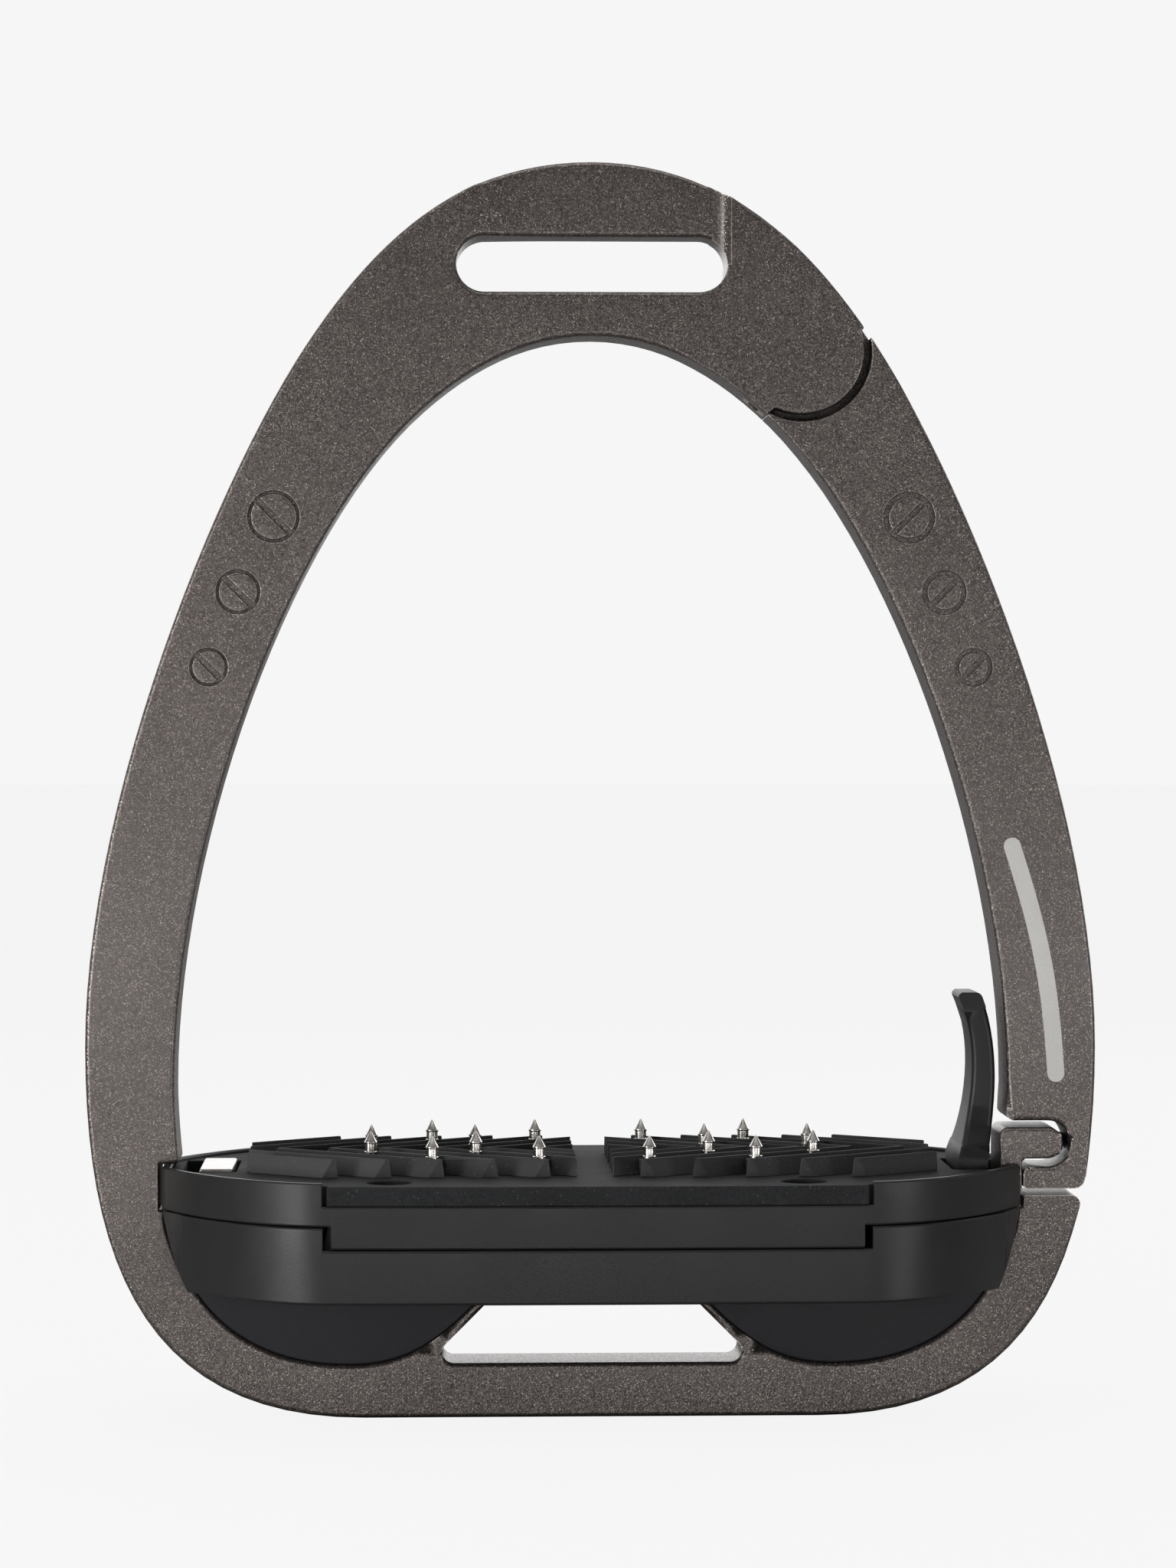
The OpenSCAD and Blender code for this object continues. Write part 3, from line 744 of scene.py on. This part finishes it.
def arm_stripe():
    """A plain pale printed stripe on the arm's front face, bent with the arm."""
    parts, half, lift = 24, 1.25 * mm, 0.03 * mm
    top, drop, inset, drift, bow = 50.5 * mm, 33.5 * mm, 12.4 * mm, 6.5 * mm, 1.3 * mm
    low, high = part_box("swing_arm")
    line = []
    for i in range(parts + 1):
        t = i / parts
        aside = inset - drift * t - bow * math.sin(math.pi * t)
        line.append(Vector((high.x - aside, 0, low.z + top - drop * t)))
    outline = []
    for run in (line, line[::-1]):
        for i, place in enumerate(run):
            ahead = (run[min(i + 1, parts)] - run[max(i - 1, 0)]).normalized()
            outline.append(place + Vector((-ahead.z, 0, ahead.x)) * half)
        ahead = (run[-1] - run[-2]).normalized()
        across = Vector((-ahead.z, 0, ahead.x))
        for k in range(1, 12):
            angle = math.pi * k / 12
            outline.append(run[-1] + (across * math.cos(angle) + ahead * math.sin(angle)) * half)
    bm = bmesh.new()
    front = [bm.verts.new(p + Vector((0, low.y - lift, 0))) for p in outline]
    back = [bm.verts.new(p + Vector((0, low.y + lift, 0))) for p in outline]
    bm.faces.new(front)
    bm.faces.new(back[::-1])
    for i in range(len(front)):
        bm.faces.new([front[i - 1], front[i], back[i], back[i - 1]])
    bmesh.ops.recalc_face_normals(bm, faces=bm.faces)
    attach(add_piece("arm_stripe", bm, STRIPE), "arm")


for node in ("frame", "swing_arm"):
    finished(node, COAT, 0.75, radius_at=coat_radius)
arm_stripe()
for node, look, slot, width in (
        ("latch_tongue", COAT, "coated_alloy", 0.6),
        ("hinge_pin", DARK_STEEL, "steel", 0.25),
        ("hinge_bush", BRONZE, "bronze", 0.2),
        ("hinge_washers", BRONZE, "bronze", 0.1),
        ("footbed_shell", SHELL, "shell_plastic", 0.45),
        ("keel_infill_left", KEEL, "keel_plastic", 0.35),
        ("keel_infill_right", KEEL, "keel_plastic", 0.35),
        ("tread_tray", TRAY, "tray_plastic", 0.35),
        ("tread_plate", PLATE, "plate_rubber", 0.3),
        ("grip_ribs_left", RUBBER, "rib_rubber", 0.14),
        ("grip_ribs_right", RUBBER, "rib_rubber", 0.14)):
    finished(node, look, width)
for side in ("left", "right"):
    studs("grip_studs_" + side)
for node, look, slot, width in (
        ("tread_screws", DARK_STEEL, "dark_steel", 0.2),
        ("platform_screws", DARK_STEEL, "dark_steel", 0.2),
        ("keel_screws", DARK_STEEL, "dark_steel", 0.2),
        ("trip_lever", LEVER, "lever_plastic", 0.9),
        ("lever_pin", STEEL, "steel", 0.2),
        ("lever_spring", STEEL, "steel", 0),
        ("tongue_screws", DARK_STEEL, "dark_steel", 0.2),
        ("detent_ball", STEEL, "steel", 0),
        ("detent_spring", STEEL, "steel", 0),
        ("pocket_insert", INSERT, "insert_steel", 0.3)):
    finished(node, look, width)


# ---------------------------------------------------------------- floor

def make_floor():
    made, t = material("paper")
    place = t.add("ShaderNodeTexCoord").outputs["Object"]
    fibre = noise(t, place, 900, 3)
    sheet = t.ramp(fibre, [(0, 0.30), (1, 0.34)])
    lit = t.add("ShaderNodeBsdfDiffuse", {"Color": sheet})
    soft = t.add("ShaderNodeBsdfDiffuse", {"Color": t.ramp(fibre, [(0, 0.048), (1, 0.052)])})
    glow = t.add("ShaderNodeEmission", {"Color": (1, 1, 1, 1), "Strength": 0.885})
    seen = t.add("ShaderNodeAddShader", {0: soft.outputs[0], 1: glow.outputs[0]})
    both = t.add("ShaderNodeMixShader", {0: t.add("ShaderNodeLightPath").outputs[0],
                                         1: lit.outputs[0], 2: seen.outputs[0]})
    t.add("ShaderNodeOutputMaterial", {0: both.outputs[0]})
    bm = bmesh.new()
    bmesh.ops.create_circle(bm, cap_ends=True, segments=96, radius=6)
    mesh = bpy.data.meshes.new("floor")
    bm.to_mesh(mesh)
    bm.free()
    mesh.materials.append(made)
    floor = bpy.data.objects.new("floor", mesh)
    floor.location.z = cad_low.z - 0.00005
    scene.collection.objects.link(floor)


make_floor()
